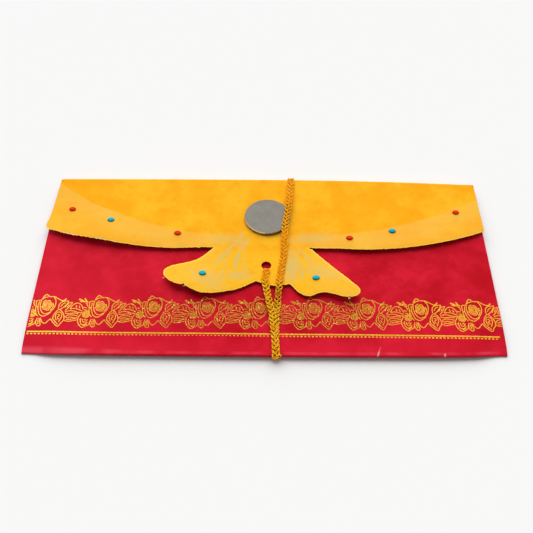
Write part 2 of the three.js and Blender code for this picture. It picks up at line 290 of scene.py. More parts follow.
def red_print():
    """Red ink in cloudy patches, broken in two places near the bottom fold; paler along that fold, rubbed and
    with a painted highlight, with painted light above it, a painted sheen towards the left and painted shade
    under the fold.
    """
    ink = Finish("red_print", 0.1, follows=True)
    x, y, z = (ink.axis(name) for name in AXES)
    clouds = ink.step(ink.cloud(19, 4, 0.62), 0.32, 0.68)
    blotches = ink.step(ink.cloud(6, 4, 0.66), 0.4, 0.66)
    low = 1 - ink.step(y, BOTTOM_Y + 2, BOTTOM_Y + 11)
    left = 1 - ink.step(x, -86, -40)
    # rubbed ink and a painted highlight: a paler line along the bottom fold, wider towards the left
    rub_and_highlight = 1 - ink.step(abs(y - (BOTTOM_Y + 1.3)), 0.2, 0.9 + 1.6 * left)
    patchy = ink.step(ink.cloud(9, 3) + 0.2 * left, 0.34, 0.7)
    # painted shade on the lower half of the bottom fold
    under = 1 - ink.step(z, BOTTOM_AXIS[1] - 0.2, BOTTOM_AXIS[1] + 0.45)
    colour = ink.coats(
        ink.mix(clouds, "#BE061C", "#DC1B32"),
        (0.42 * blotches, "#B00416"),
        # painted light: a lighter band above the bottom fold
        (0.45 * low, "#E41E38"),
        # painted sheen: lighter towards the left
        (0.3 * (1 - ink.step(x, -90, -10)), "#E8283E"),
        # rubbed ink and a painted highlight along the bottom fold
        ((0.7 + 0.3 * left) * rub_and_highlight * patchy, "#EE465C"),
        *((ink.streak(*crack), "#F6A8A4") for crack in CRACKS),
        # painted shade under the bottom fold
        (0.75 * under * (1 - ink.step(y, BOTTOM_Y + 1, BOTTOM_Y + 2)), "#8E0616"),
    )
    rough = 0.4 + 0.16 * ink.cloud(6, 3)
    return ink.feed(base_color=colour, roughness=rough, normal=ink.bump(fibres(ink), 0.022))


# Pale strokes of the flap's print: start, end, half width, strength
STROKES = (
    ((-11.6, 12), (-17.6, 3.2), 1.1, 0.6),
    ((-15.4, 6.6), (-21.8, -4), 1.25, 0.75),
    ((-9.8, 11), (-12.2, 1.6), 0.8, 0.6),
    ((-11.6, 4), (-13.5, -5), 1.15, 0.95),
    ((-14.2, 5.2), (-17.2, -0.8), 0.45, 0.6),
    ((-16.7, 0.6), (-18.1, -7.4), 0.5, 0.6),
    ((-17.8, -6), (-19.6, -13), 0.8, 0.8),
    ((-18.8, -11.6), (-23.4, -16.2), 0.7, 0.65),
    ((-9.4, 5), (-10.1, -1.6), 0.5, 0.6),
    ((-10.1, -0.6), (-8, -6.8), 0.65, 0.7),
    ((-33.6, -5.2), (-30.2, -9), 0.7, 0.5),
    ((-31.4, -7.4), (-26.6, -14.2), 0.75, 0.6),
    ((-7.6, 12), (-9.8, 6), 1.1, 0.7),
    ((-10.4, 14.6), (-12.4, 8), 1.7, 0.6),
    ((13.4, 7), (17.2, 1.6), 0.85, 0.55),
    ((16.2, 3), (19.8, -2), 1.15, 0.65),
    ((11.6, 5.4), (14.2, -0.6), 0.5, 0.6),
    ((13.8, 0.6), (15.3, -6), 0.6, 0.75),
    ((14.8, -4.4), (15.5, -11.4), 0.75, 0.85),
    ((10.2, 9), (9.6, -4), 0.5, 0.5),
)
# Pale patches with soft edges: start, end, half width, strength
PATCHES = (
    ((-15.5, -8.6), (-7.6, -8.6), 3.6, 0.85),
    ((-27, -9), (-20, -13), 6, 0.6),
    ((11.4, 3), (10.2, -11), 4.6, 0.9),
    ((17, -4.6), (30, -9), 5, 0.6),
    ((-25, 11), (-9, 12), 3.8, 0.5),
    ((10, 11), (28, 13.2), 4.4, 0.6),
)
BAND_LOW = 13.4  # upper edge of the pale band on the upper wings, at the body
BAND_CLIMB = (0.0044, 0.0034)  # how fast it climbs towards the left and the right side


def pale_print(ink):
    """The flap's pale ink: a band along each upper wing, and rays on the lower ones."""
    x, y = ink.axis("X"), ink.axis("Y")
    out = (abs(x) - 13).over(0)
    climb = BAND_CLIMB[0] + (BAND_CLIMB[1] - BAND_CLIMB[0]) * ink.step(x, -1, 1)
    waves = 3 * (ink.cloud(26, 2) - 0.5) * ink.step(x, -62, -30)
    below = climb * out * out + BAND_LOW + waves - y
    line = (1 - ink.step(abs(below - 0.4), 0.1, 0.5)) * (1 - ink.step(x, -66, -60))
    band = ink.step(below, -0.3, 1.2) * ink.step(abs(x), 14, 26)
    streaks = ink.cloud(6, 3, 0.6, (0.5, 1.6, 1))
    band = (band * (0.1 + 0.8 * streaks) * (1 - 0.5 * ink.step(below, 8, 13))).over(0.6 * line)
    rays = 0 * x
    for patch in PATCHES:
        rays = rays.over(ink.streak(*patch, firm=1.3) * (0.45 + 0.8 * streaks))
    for mark in STROKES:
        rays = rays.over(ink.streak(*mark))
    return band, rays


def yellow_print():
    """Cloudy orange-yellow ink under the pale print, with a bright line inside the cut edge: ink bled into
    the core and a painted highlight.
    """
    ink = Finish("yellow_print", 0.1, follows=True)
    x, y = ink.axis("X"), ink.axis("Y")
    clouds = ink.step(ink.cloud(13, 4, 0.6), 0.34, 0.68).over(1 - ink.step(y, 0, 12))
    blotches = ink.step(ink.cloud(4.5, 3, 0.62), 0.5, 0.78)
    specks = ink.step(ink.cloud(2.2, 3, 0.6), 0.52, 0.74)
    band, rays = pale_print(ink)
    # bright line inside the cut edge: ink bled into the core, and a painted highlight where the edge catches
    # the light
    frayed = ink.noted("cut") * (0.45 + 1.1 * ink.cloud(1.6, 3))
    torn = ink.step(-1 * x, 60, 68) * ink.step(ink.cloud(2, 3), 0.4, 0.58)
    colour = ink.coats(
        ink.mix(clouds, "#FEAC12", "#FFBE24"),
        ((0.55 * blotches).over(0.4 * specks), "#FA9F0A"),
        (band, "#F9C254"),
        (rays, "#DEC06C"),
        # bled ink and a painted highlight along the cut edge
        (ink.step(frayed, 0.15, 0.6), "#FFDC4E"),
        (torn * ink.step(frayed, 0.3, 0.7), "#FFF3CE"),
    )
    rough = 0.46 + 0.12 * ink.cloud(5, 3) - 0.14 * rays
    return ink.feed(base_color=colour, roughness=rough, normal=ink.bump(fibres(ink), 0.02))


def bare_card():
    card = Finish("bare_card", 0.2, follows=True)
    colour = card.mix(card.cloud(1.2, 3), "#E6DED2", "#F4EEE4")
    return card.feed(base_color=colour, roughness=0.8, normal=card.bump(fibres(card), 0.03))


def cut_card(name, dark, light):
    """A cut edge, where the ink has bled into the core."""
    card = Finish(name, 0.2, follows=True)
    frays = card.step(card.cloud(0.7, 3, 0.6), 0.35, 0.7)
    return card.feed(base_color=card.mix(frays, dark, light), roughness=0.7, normal=card.bump(frays, 0.05))


def foil_print():
    """Gold foil, bright below the garland, more metallic in patches, with a painted reflection brightening it
    towards its ends and most at its left end, and painted glints.
    """
    foil = Finish("foil_print", 0.3)
    x, y = foil.axis("X"), foil.axis("Y")
    wear_and_reflection = foil.step(foil.cloud(22, 3, 0.6), 0.35, 0.7)
    grain = foil.cloud(0.5, 2)
    left = 1 - foil.step(x, -92, -62)
    below = 1 - foil.step(y, RULE_Y + 0.6, RULE_Y + 0.9)
    # painted reflection: brighter towards the ends, its reach shifted in patches
    bright = foil.step(abs(x) + 14 * wear_and_reflection, 36, 78).over(0.7 * below)
    colour = foil.coats(
        foil.mix(bright, "#B47E12", "#EFAE22"),
        # painted reflection: brighter at the left end
        (left, "#FFCC38"),
        # painted glints in the grain, more at the left end
        (foil.step(grain + 0.1 * left, 0.54, 0.68), "#FFDC66"),
    )
    return foil.feed(base_color=colour, metallic=0.45 + 0.2 * wear_and_reflection, roughness=0.34 + 0.22 * grain,
                     normal=foil.bump(grain, 0.01))


def coin_metal():
    """Worn steel, finely scratched, with a painted highlight along a stretch of rim and dark brown low on its
    edge.
    """
    steel = Finish("coin_metal", 0.5)
    smudge = steel.step(steel.cloud(4.5, 4, 0.65), 0.35, 0.7)
    along = steel.cloud(0.8, 3, 0.7, (0.15, 2.6, 1))
    scratches = 0.55 * along + 0.45 * steel.cloud(0.7, 3, 0.7, (2.4, 0.2, 1))
    x, y = steel.axis("X") - COIN[0], steel.axis("Y") - down(COIN[1])
    rim = steel.step(x * x + y * y, (COIN_R - 0.24) ** 2, (COIN_R - 0.05) ** 2)
    colour = steel.coats(
        steel.mix(smudge, "#8C8880", "#9A968C"),
        # painted highlight on the lower left stretch of rim
        (rim * steel.step(-0.75 * x - y, 8, 10.5) * steel.step(-0.2 - x, 0, 1.5), "#D8D2C6"),
        # dark brown low on the coin's edge
        (1 - steel.step(steel.axis("Z"), COIN_Z + 0.1, COIN_TOP - 0.45), "#4A3010"),
    )
    rough = 0.3 + 0.2 * smudge + 0.12 * scratches
    return steel.feed(base_color=colour, metallic=0.9, roughness=rough, normal=steel.bump(scratches, 0.01))


def dried_glue():
    glue = Finish("dried_glue", 0.5)
    colour = glue.mix(glue.cloud(0.8, 2), "#5C3410", "#A4661C")
    normal = glue.bump(glue.cloud(0.4, 2), 0.04)
    return glue.feed(base_color=colour, coat_weight=0.3, roughness=0.35, normal=normal)


def stone_resin(name, deep, bright):
    """Moulded resin with painted light: painted shade deep in colour at its girdle, a painted highlight
    bright at its table.
    """
    resin = Finish(name, 0.06)
    veins = resin.cloud(0.8, 2)
    height = resin.noted("height") + 0.25 * (veins - 0.5)
    # painted light by height: shaded girdle and crown darker, lit table lighter
    colour = resin.mix(resin.step(height, 0.36, 0.72), deep, bright)
    return resin.feed(base_color=colour, roughness=0.16 + 0.1 * veins)


def gold_thread():
    """Gold thread in two tones with painted light: painted glints on top of the strands, brown painted shade
    deep down, lighter over the flap, and a warmer painted reflection of the flap.
    """
    gold = Finish("gold_thread", 0.05, follows=True)
    glint = gold.cloud(0.6, 2, 0.6)
    twist = gold.step(gold.cloud(1.5, 3, 0.6), 0.35, 0.65)
    # painted light by the noted height: painted shade low in the cord, painted glints high on it
    height = gold.noted("height")
    y = gold.axis("Y")
    # over the flap: a warmer painted reflection of the flap and lighter painted shade; over the coin that
    # painted shade stays dark
    on_flap = gold.step(y, down(BODY_LOW), down(BODY_LOW - 3))
    on_coin = 1 - gold.step(abs(y - down(COIN[1])), COIN_R - 4, COIN_R)
    warm = on_flap * (1 - on_coin)
    bright = gold.step(height, 0.62, 0.85) * gold.step(glint, 0.44, 0.58)
    colour = gold.coats(
        gold.mix(twist, "#F48E00", "#FFBC06"),
        # painted reflection of the flap
        (0.75 * on_flap, "#FFAA06"),
        # painted shade deep between the strands
        (1 - gold.step(height - 0.08 * warm, 0.16, 0.54), gold.mix(warm, "#702400", "#E88404")),
        # painted glints on top of the strands
        (bright * (1 - 0.4 * on_flap), "#FFE448"),
    )
    return gold.feed(base_color=colour, metallic=0.6, roughness=0.24 + 0.3 * glint,
                     normal=gold.bump(glint, 0.05))


# Making of pieces


def link(name, data):
    piece = bpy.data.objects.new(name, data)
    bpy.context.scene.collection.objects.link(piece)
    return piece


def smooth(value):
    """0 below 0, 1 above 1, and smooth between."""
    value = min(1, max(0, value))
    return value * value * (3 - 2 * value)


def settle(piece):
    """Moves what lies along the folds: the bottom one sags and is pinched, the top one bows."""
    for vert in piece.data.vertices:
        x, y, z = vert.co / MM
        pinch = PINCH * corner(x) * smooth((up(3.5) - y) / 3) * (z - BACK_Z)
        vert.co -= mm(0, sag(x, y) - bow(x, y), droop(x, y) + pinch)


def from_bmesh(name, bm):
    mesh = bpy.data.meshes.new(name)
    bm.to_mesh(mesh)
    bm.free()
    return link(name, mesh)


def baked(piece):
    """The mesh that a piece comes to; the piece itself goes."""
    graph = bpy.context.evaluated_depsgraph_get()
    mesh = bpy.data.meshes.new_from_object(piece.evaluated_get(graph))
    bpy.data.objects.remove(piece)
    return mesh


def finished(piece, materials, sharp=35, rounded=True):
    """Makes a piece a plain mesh, shades it and notes where its surface lies at rest."""
    for material in materials:
        piece.data.materials.append(material)
    name = piece.name
    mesh = baked(piece)
    if rounded:
        mesh.shade_smooth()
        mesh.set_sharp_from_angle(angle=radians(sharp))
    else:
        mesh.shade_flat()
    rest = mesh.attributes.new("rest", "FLOAT_VECTOR", "POINT")
    rest.data.foreach_set("vector", [c for v in mesh.vertices for c in v.co])
    return link(name, mesh)


def wire_curve(name, wires, radius, sides):
    """Round wires, each a list of points with their shares of the radius."""
    curve = bpy.data.curves.new(name, "CURVE")
    curve.dimensions = "3D"
    curve.bevel_depth = radius * MM
    curve.bevel_resolution = sides
    curve.use_fill_caps = True
    for wire in wires:
        spline = curve.splines.new("POLY")
        spline.points.add(len(wire) - 1)
        spline.points.foreach_set("co", [c for point, *_ in wire for c in (*(point * MM), 1)])
        spline.points.foreach_set("radius", [slim for _, slim, *_ in wire])
    return link(name, curve)


def thicken(piece):
    """Thickens a sheet; its inside and its cut edge take the next two finishes."""
    solid = piece.modifiers.new("card", "SOLIDIFY")
    solid.thickness = CARD * MM
    solid.offset = 0
    solid.use_even_offset = True
    solid.material_offset = 1
    solid.material_offset_rim = 2
    return solid


def of_kind(kind, geometry):
    """The vertices, edges or faces among what an operator made."""
    return [g for g in geometry if isinstance(g, kind)]


def weld(bm):
    bmesh.ops.remove_doubles(bm, verts=bm.verts, dist=WELD)


def face_up(bm):
    """Turns a sheet's faces so that the highest one looks up."""
    bmesh.ops.recalc_face_normals(bm, faces=bm.faces)
    if max(bm.faces, key=lambda f: f.calc_center_median().z).normal.z < 0:
        bmesh.ops.reverse_faces(bm, faces=bm.faces)


def score(bm, point, normal, dist=NEAR, clear_outer=False):
    """Cuts edges along a plane, and can take away what lies beyond it."""
    geometry = bm.verts[:] + bm.edges[:] + bm.faces[:]
    bmesh.ops.bisect_plane(bm, geom=geometry, dist=dist, plane_co=point, plane_no=normal,
                           clear_outer=clear_outer)


def rows_of(bm, edges, move, rows):
    """Extrudes edges along a vector in equal rows and returns the last row."""
    for _ in range(rows):
        made = bmesh.ops.extrude_edge_only(bm, edges=edges)["geom"]
        bmesh.ops.translate(bm, vec=move / rows, verts=of_kind(BMVert, made))
        edges = of_kind(BMEdge, made)
    return edges


def round_x(bm, edges, axis, turn):
    """Spins edges about a line along X and returns the last row."""
    made = bmesh.ops.spin(bm, geom=edges, cent=mm(0, *axis), axis=(1, 0, 0), angle=turn, steps=FOLD_STEPS)
    return of_kind(BMEdge, made["geom_last"])


# Card

SWELL = 0.11  # how far the front's card stands off flat
FOLD_STEPS = 12
FRONT_GRID = (76, 30)  # columns and rows of the front
BACK_ROWS = 12
BELLY = 0.75  # how far the bottom fold sags at most
DROOP = 0.85  # how far the lower corners hang
PINCH = 0.45  # how much flatter the bottom fold is at its ends
TOP_BOW = 1.9
BOW_X = 10  # place of the highest point of the top fold's bow
SIDE_PROUD = (0.5, 0.15)  # how far the left and right sides stand out past the flap


def front_swell(x, y):
    """The front's slight waves; none where it is folded or glued."""
    hold = min(1, (EDGE_X - abs(x)) / 12) * min(1, (y - BOTTOM_Y) / 6)
    return SWELL * max(0, hold) * (0.5 + noise.noise(Vector((x / 30, y / 22, 0))))


def corner(x):
    """How near a place is to the envelope's ends, from 0 to 1."""
    return smooth((abs(x) - 66) / 26)


def tip(x):
    """How near a place is to the corners' tips, from 0 to 1."""
    return smooth((abs(x) - 82) / 11)


def sag(x, y):
    """How far the pocket hangs past its straight bottom edge, most left of its middle."""
    belly = BELLY * max(0, 1 - ((x + 25) / 112) ** 2)
    short = (0.24 if x < 0 else 0.45) * corner(x) + (0.66 if x < 0 else 0.9) * tip(x)
    return smooth((up(9) - y) / 7) * (belly - short)


def droop(x, y):
    """How far the lower corners hang towards what the pocket lies on."""
    return DROOP * tip(x) * smooth((up(14) - y) / 13)


def bow(x, y):
    """How far the top fold stands out past its straight line, most right of its middle."""
    half = 160 if x < BOW_X else 80
    rise = max(0, 1 - ((x - BOW_X) / half) ** 2) * smooth((EDGE_X + x + 4) / 6)
    return TOP_BOW * rise * smooth((y - down(15)) / 13)


def pocket_card(materials):
    """Back, bottom fold and front, one folded sheet."""
    bm = bmesh.new()
    bmesh.ops.create_grid(bm, x_segments=FRONT_GRID[0], y_segments=FRONT_GRID[1], size=0.5)
    size = mm(2 * EDGE_X + sum(SIDE_PROUD), MOUTH_Y - BOTTOM_AXIS[0], 1)
    bmesh.ops.scale(bm, vec=size, verts=bm.verts)
    middle = ((SIDE_PROUD[1] - SIDE_PROUD[0]) / 2, (MOUTH_Y + BOTTOM_AXIS[0]) / 2, FRONT_TOP - CARD / 2)
    bmesh.ops.translate(bm, vec=mm(*middle), verts=bm.verts)
    low = min(v.co.y for v in bm.verts) + NEAR
    row = [e for e in bm.edges if all(v.co.y < low for v in e.verts)]
    row = round_x(bm, row, BOTTOM_AXIS, pi)
    rows_of(bm, row, mm(0, side("back_panel", "Y", True) - BOTTOM_AXIS[0], 0), BACK_ROWS)
    weld(bm)
    face_up(bm)
    for vert in bm.verts:
        if vert.co.z > (FRONT_TOP - CARD) * MM:
            vert.co.z += front_swell(vert.co.x / MM, vert.co.y / MM) * MM
    sheet = from_bmesh("pocket_card", bm)
    thicken(sheet)
    sheet = finished(sheet, materials)
    settle(sheet)
    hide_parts("back_panel", "bottom_fold", "front_panel")
    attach(sheet, "pocket")


def side_tab(node, red):
    """A glue tab between the panels, which hangs at its lower end as they do."""
    bm = bmesh.new()
    bm.from_mesh(nodes[node].data)
    weld(bm)
    for rise in range(1, 16):
        score(bm, mm(0, up(rise), 0), (0, 1, 0))
    piece = finished(from_bmesh(node + "_card", bm), [red], sharp=30)
    settle(piece)
    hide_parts(node)
    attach(piece, "pocket")


EDGE_STEP = 0.4  # spacing of points along the flap's cut edge
FRAY = 0.16
TEARS = (  # place, depth and reach of each tear; below 0 it stands out
    (-34.1, -14.6, 1.3, 0.8), (-42.5, -10.4, 0.5, 0.7), (-79.1, 12.4, 0.3, 0.6), (-73.3, 11.4, 0.3, 0.7),
    (-28.8, 5.9, -0.4, 0.8), (-26, 5.9, 0.3, 0.6), (22.9, 3.4, 0.5, 0.7), (50.2, 6.6, 0.5, 0.6),
    (34.1, -19.4, 0.5, 0.8), (19, 6.5, 0.7, 0.8), (-60, 8.6, 0.3, 0.5), (-67, 9.8, -0.3, 0.5),
    (-87, 14, -1, 14), (-96, 16, -0.5, 6), (-28.1, 1.2, 0.4, 10), (29, -4.6, 0.45, 14), (-37, -13.5, -0.6, 8),
    (-16.3, -17.2, 0.3, 7), (13, -17, -0.5, 4), (32.4, -19.2, -0.4, 6), (-83, 12.9, -0.3, 1.2),
    (-86, 13.6, 0.25, 0.8), (8.6, -13.6, -0.3, 1.5),
)
FRINGE = 0.8  # width of the bright line inside the cut edge
THIN = 0.35  # thickness of the cut edge, pressed by the scissors, to one of the card's
LEAN = 0.35  # how much further down a wing reaches, to one of lift
PUNCHED = 0.22  # how much wider the hole is worn
ASLANT = 0.035  # slant of the flap's left end, to one of height
GRID = 3.2  # spacing of the lines that let the flap bend
CUT_TOP = 18  # above this height the flap's edges are hardly frayed


def fray(x, y):
    """How far the cut edge strays from its line at a place."""
    hold = min(1, max(0, (TOP_Y - 3 - y) / 8)) * (0.2 if y > CUT_TOP else 1 + 1.5 * smooth((-62 - x) / 10))
    rough = noise.noise(Vector((x * 0.9, y * 0.9, 3))) + 0.8 * noise.noise(Vector((x * 2.3, y * 2.3, 8)))
    tear = sum(depth * max(0, 1 - hypot(x - tx, y - ty) / reach) for tx, ty, depth, reach in TEARS)
    return hold * FRAY * rough - tear


def lifted(point):
    """Where a point of the flap lies, with the wings' free edges off the front."""
    x, y = point.x / MM, point.y / MM
    wide = smooth((abs(x) - 11) / 22)
    upper = wide * smooth((TOP_Y - 8 - y) / 32) * (0.5 + 0.3 * noise.noise(Vector((x / 24, y / 20, 5))))
    wing = wide * smooth((4 - y) / 20) * (1.4 if x < 0 else 1)
    bulge = 1.2 * exp(-((x + 74) / 19) ** 2 - ((y - 12) / 13) ** 2)
    return point + mm(0, -LEAN * wing, upper + wing + bulge)


def from_hole(point):
    """How far a point lies from the middle of the hole."""
    return hypot(point.x / MM - HOLE[0], point.y / MM - down(HOLE[1]))


def edge_loops(bm):
    """The wire loops of a bmesh, each as its vertices in order."""
    left = set(bm.verts)
    loops = []
    while left:
        vert = next(iter(left))
        loop = []
        while vert:
            left.discard(vert)
            loop.append(vert)
            vert = next((e.other_vert(vert) for e in vert.link_edges if e.other_vert(vert) in left), None)
        loops.append(loop)
    return sorted(loops, key=len, reverse=True)


def flap_outline():
    """The flap's frayed edge and its hole's, from its solid, with a fringe inside them.

    Returns the bmesh and the fringe's inner edges."""
    bm = bmesh.new()
    bm.from_mesh(nodes["flap"].data)
    cut = bm.verts.layers.float.new("cut")
    weld(bm)
    top = max(v.co.z for v in bm.verts) - NEAR
    lower = [f for f in bm.faces if any(v.co.z < top for v in f.verts)]
    bmesh.ops.delete(bm, geom=lower, context="FACES")
    inner = [e for e in bm.edges if not e.is_boundary]
    bmesh.ops.delete(bm, geom=bm.faces[:], context="FACES_ONLY")
    bmesh.ops.delete(bm, geom=inner, context="EDGES")
    by_cuts = {}
    for edge in bm.edges:
        by_cuts.setdefault(int(edge.calc_length() / (EDGE_STEP * MM)), []).append(edge)
    for cuts, edges in by_cuts.items():
        if cuts:
            bmesh.ops.subdivide_edges(bm, edges=edges, cuts=cuts)
    outwards = {}
    for i, loop in enumerate(edge_loops(bm)):
        area = sum(a.co.x * b.co.y - b.co.x * a.co.y for a, b in zip(loop, loop[1:] + loop[:1]))
        way = 1 if (area > 0) == (i == 0) else -1
        for before, vert, after in zip(loop[-1:] + loop[:-1], loop, loop[1:] + loop[:1]):
            along = (after.co - before.co).normalized()
            outwards[vert] = Vector((along.y, -along.x, 0)) * way
            low_side = 0.7 + 0.3 * smooth(0.5 - way * along.x)
            vert[cut] = low_side if i == 0 and vert.co.y < CUT_TOP * MM else 0
    for vert, out in outwards.items():
        at_hole = from_hole(vert.co) < 2 * HOLE_R
        vert.co += out * (-PUNCHED if at_hole else fray(vert.co.x / MM, vert.co.y / MM)) * MM
    made = bmesh.ops.extrude_edge_only(bm, edges=bm.edges)["geom"]
    for vert in of_kind(BMVert, made):
        edge_vert = next(e.other_vert(vert) for e in vert.link_edges if e.other_vert(vert) in outwards)
        vert.co -= outwards[edge_vert] * FRINGE * MM
        vert[cut] = 0
    return bm, of_kind(BMEdge, made)


def flap_card(materials):
    """The flap and its crease, one sheet, ragged where it was cut."""
    bm, inside = flap_outline()
    bmesh.ops.triangle_fill(bm, use_beauty=True, edges=inside)
    for axis, reach in ((0, EDGE_X), (1, TOP_Y)):
        normal = Vector((1 - axis, axis, 0))
        for line in range(-int(reach / GRID), int(reach / GRID) + 1):
            score(bm, normal * line * GRID * MM, normal)
    for vert in bm.verts:
        vert.co.z = (FLAP_TOP - CARD / 2) * MM
        vert.co = lifted(vert.co)
    high = max(v.co.y for v in bm.verts)
    row = [e for e in bm.edges if e.is_boundary and all(v.co.y > high - 2 * NEAR for v in e.verts)]
    row = rows_of(bm, row, Vector((0, TOP_AXIS[0] * MM - high, 0)), 1)
    row = round_x(bm, row, TOP_AXIS, -pi)
    rows_of(bm, row, mm(0, side("back_panel", "Y", True) - TOP_AXIS[0], 0), 1)
    weld(bm)
    bmesh.ops.dissolve_degenerate(bm, edges=bm.edges, dist=0.5 * NEAR)
    face_up(bm)
    sheet = from_bmesh("flap_card", bm)
    full = sheet.vertex_groups.new(name="full")
    for vert, cut in zip(sheet.data.vertices, sheet.data.attributes["cut"].data):
        pressed = cut.value > 0.3 or from_hole(vert.co) < HOLE_R + 0.5
        full.add([vert.index], THIN if pressed else 1, "REPLACE")
    thicken(sheet).vertex_group = full.name
    sheet = finished(sheet, materials)
    for vert in sheet.data.vertices:
        vert.co.x += ASLANT * smooth((-72 * MM - vert.co.x) / (22 * MM)) * (vert.co.y - down(18) * MM)
    settle(sheet)
    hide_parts("flap", "flap_crease")
    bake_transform(sheet)


# Fibres that hang from tears: place, number, length and direction in degrees
TORN = (
    (-42.1, -10.9, 3, 0.8, 225), (-33.5, -15.2, 2, 0.4, 200), (22.2, 2.4, 2, 0.4, 60),
    (34.1, -20.1, 3, 0.9, 285), (-87.9, 13.9, 2, 0.4, 250), (-85.2, 13.1, 3, 0.5, 300),
    (-82, 12.4, 3, 0.6, 320), (-79.8, 11.9, 2, 0.5, 300),
)
FIBRE = ((-0.3, 1), (0.5, 0.9), (1, 0.35))  # places along a fibre with its thickness there


def torn_fibres(core):
    wires = []
    for x, y, count, length, way in TORN:
        for _ in range(count):
            angle = radians(way + random.uniform(-40, 40))
            start = lifted(mm(x + random.uniform(-0.3, 0.3), y, FLAP_TOP - CARD / 2)) / MM
            reach = Vector((cos(angle), sin(angle), random.uniform(-0.3, 0.2))) * length
            wires.append([(start + reach * share, slim) for share, slim in FIBRE])
    piece = finished(wire_curve("torn_fibres", wires, 0.09, 1), [core])
    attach(piece, "flap")


# Cord

ON = CORD_GAP + CORD_THICK / 2
ON_FRONT = FRONT_TOP + ON
ON_FLAP = FLAP_TOP + ON
ON_COIN = COIN_TOP + ON
ON_CORD = ON_FRONT + CORD_THICK + CORD_GAP
UNDER_BACK = CORD_THICK / 2
TOP_X = 11.1
BOTTOM_X = 4.2
HOLE = (0.1, 49.6)
HOLE_R = 1.9
COIN = (0.4, 22.9)
COIN_R = 10
COIN_CLEAR = COIN_R + CORD_WIDTH / 2
WING_LOW = 66.1
BODY_LOW = 60.2
END_GAP = 0.3


def round_fold(x, axis, radius, out, degrees):
    """A point round a fold, turned from straight down out past the envelope's edge."""
    angle = radians(degrees)
    return (x, axis[0] + out * radius * sin(angle), axis[1] - radius * cos(angle))


def back_strand(share):
    y = BOTTOM_AXIS[0] + (TOP_AXIS[0] - BOTTOM_AXIS[0]) * share
    return (BOTTOM_X + (TOP_X - BOTTOM_X) * share, y, UNDER_BACK)


LOOP_ROUTE = [
    (BOTTOM_X, up(BOTTOM_R + END_GAP), ON_FRONT),
    (4.1, up(6), ON_FRONT),
    (4, up(12), ON_FRONT),
    (4.2, up(18), ON_FRONT),
    (4.7, up(23.5), ON_FRONT),
    (5, down(WING_LOW - 0.6), ON_FRONT + 0.3),
    (5.4, down(BODY_LOW + 1.6), ON_FLAP + 0.1),
    (5.9, down(HOLE[1] + 6.4), ON_FLAP),
    (6.8, down(HOLE[1]), ON_FLAP),
    (7.6, down(COIN[1] + 20), ON_FLAP + 0.1),
    (7.9, down(COIN[1] + COIN_CLEAR), ON_COIN - 0.3),
    (8.3, down(COIN[1] + COIN_R / 2), ON_COIN),
    (9, down(COIN[1]), ON_COIN),
    (9.7, down(COIN[1] - COIN_R / 2), ON_COIN),
    (10.3, down(COIN[1] - COIN_CLEAR), ON_COIN - 0.4),
    *[round_fold(TOP_X, TOP_AXIS, TOP_R + ON, 1, turn) for turn in (180, 150, 120, 90, 60, 30, 0)],
    *[back_strand(share) for share in (0.99, 0.96, 0.66, 0.34, 0.04, 0.01)],
    *[round_fold(BOTTOM_X, BOTTOM_AXIS, BOTTOM_R + ON, -1, turn) for turn in (0, 30, 60)],
]
STOPPER_Y = down(HOLE[1] + HOLE_R / 3)
TETHER_START = STOPPER_Y - HOLE_R - CORD_GAP
OVER_CORD = BOTTOM_R + ON + CORD_THICK + CORD_GAP
TETHER_ROUTE = [
    (0.2, TETHER_START, ON_FLAP),
    (-0.1, TETHER_START - 2.4, ON_FLAP),
    (-0.5, down(BODY_LOW - 2.6), ON_FLAP),
    (0.1, down(BODY_LOW + 1), ON_FLAP - 0.05),
    (0.8, down(BODY_LOW + 5), ON_CORD + 0.3),
    (1.5, up(24), ON_CORD + 0.1),
    (2.4, up(20), ON_CORD),
    (3.1, up(15), ON_CORD),
    (3.5, up(10), ON_CORD),
    (3.8, up(5), ON_CORD),
    *[round_fold(BOTTOM_X, BOTTOM_AXIS, OVER_CORD, -1, turn) for turn in (180, 160, 145)],
]

STRANDS = 3  # strands plaited flat
THREADS = 2  # threads side by side in each strand
THREAD_R = 0.19
CORES = (-0.62, 0, 0.62)  # places of the core's threads across the cord
CORE_LEVEL = -0.4  # the level noted for the core, low so that it takes the gaps' painted shade
CRIMP = (0.06, 0.85)  # a thread's sideways waves, and their length
LAY = 6.3  # length in which a strand crosses the cord and comes back
THREAD_LEAD = 0.62  # how far a strand's second thread lags
CORD_STEP = 0.22
KNOT_STEPS = 90
KNOT_TURN = 142  # degrees round the bottom fold, from straight down


def curve_points(route, step):
    """Points every step along a smooth curve through a route, with its direction."""
    knots = [Vector(p) for p in route]
    knots = [2 * knots[0] - knots[1], *knots, 2 * knots[-1] - knots[-2]]
    dense = []
    for before, start, end, after in zip(knots, knots[1:], knots[2:], knots[3:]):
        t0, t1, t2 = ((b - a).length ** 0.5 for a, b in ((before, start), (start, end), (end, after)))
        leave = ((start - before) / t0 - (end - before) / (t0 + t1) + (end - start) / t1) * t1
        reach = ((end - start) / t1 - (after - start) / (t1 + t2) + (after - end) / t2) * t1
        for share in (i / 24 for i in range(24)):
            a, b = share * share, share * share * share
            dense.append(start * (2 * b - 3 * a + 1) + leave * (b - 2 * a + share)
                         + end * (3 * a - 2 * b) + reach * (b - a))
    dense.append(knots[-2])
    points, left = [], 0.0
    for a, b in zip(dense, dense[1:]):
        span = (b - a).length
        while left < span:
            points.append((a.lerp(b, left / span), (b - a).normalized()))
            left += step
        left -= span
    if (dense[-1] - points[-1][0]).length > step / 4:
        points.append((dense[-1], points[-1][1]))
    return points


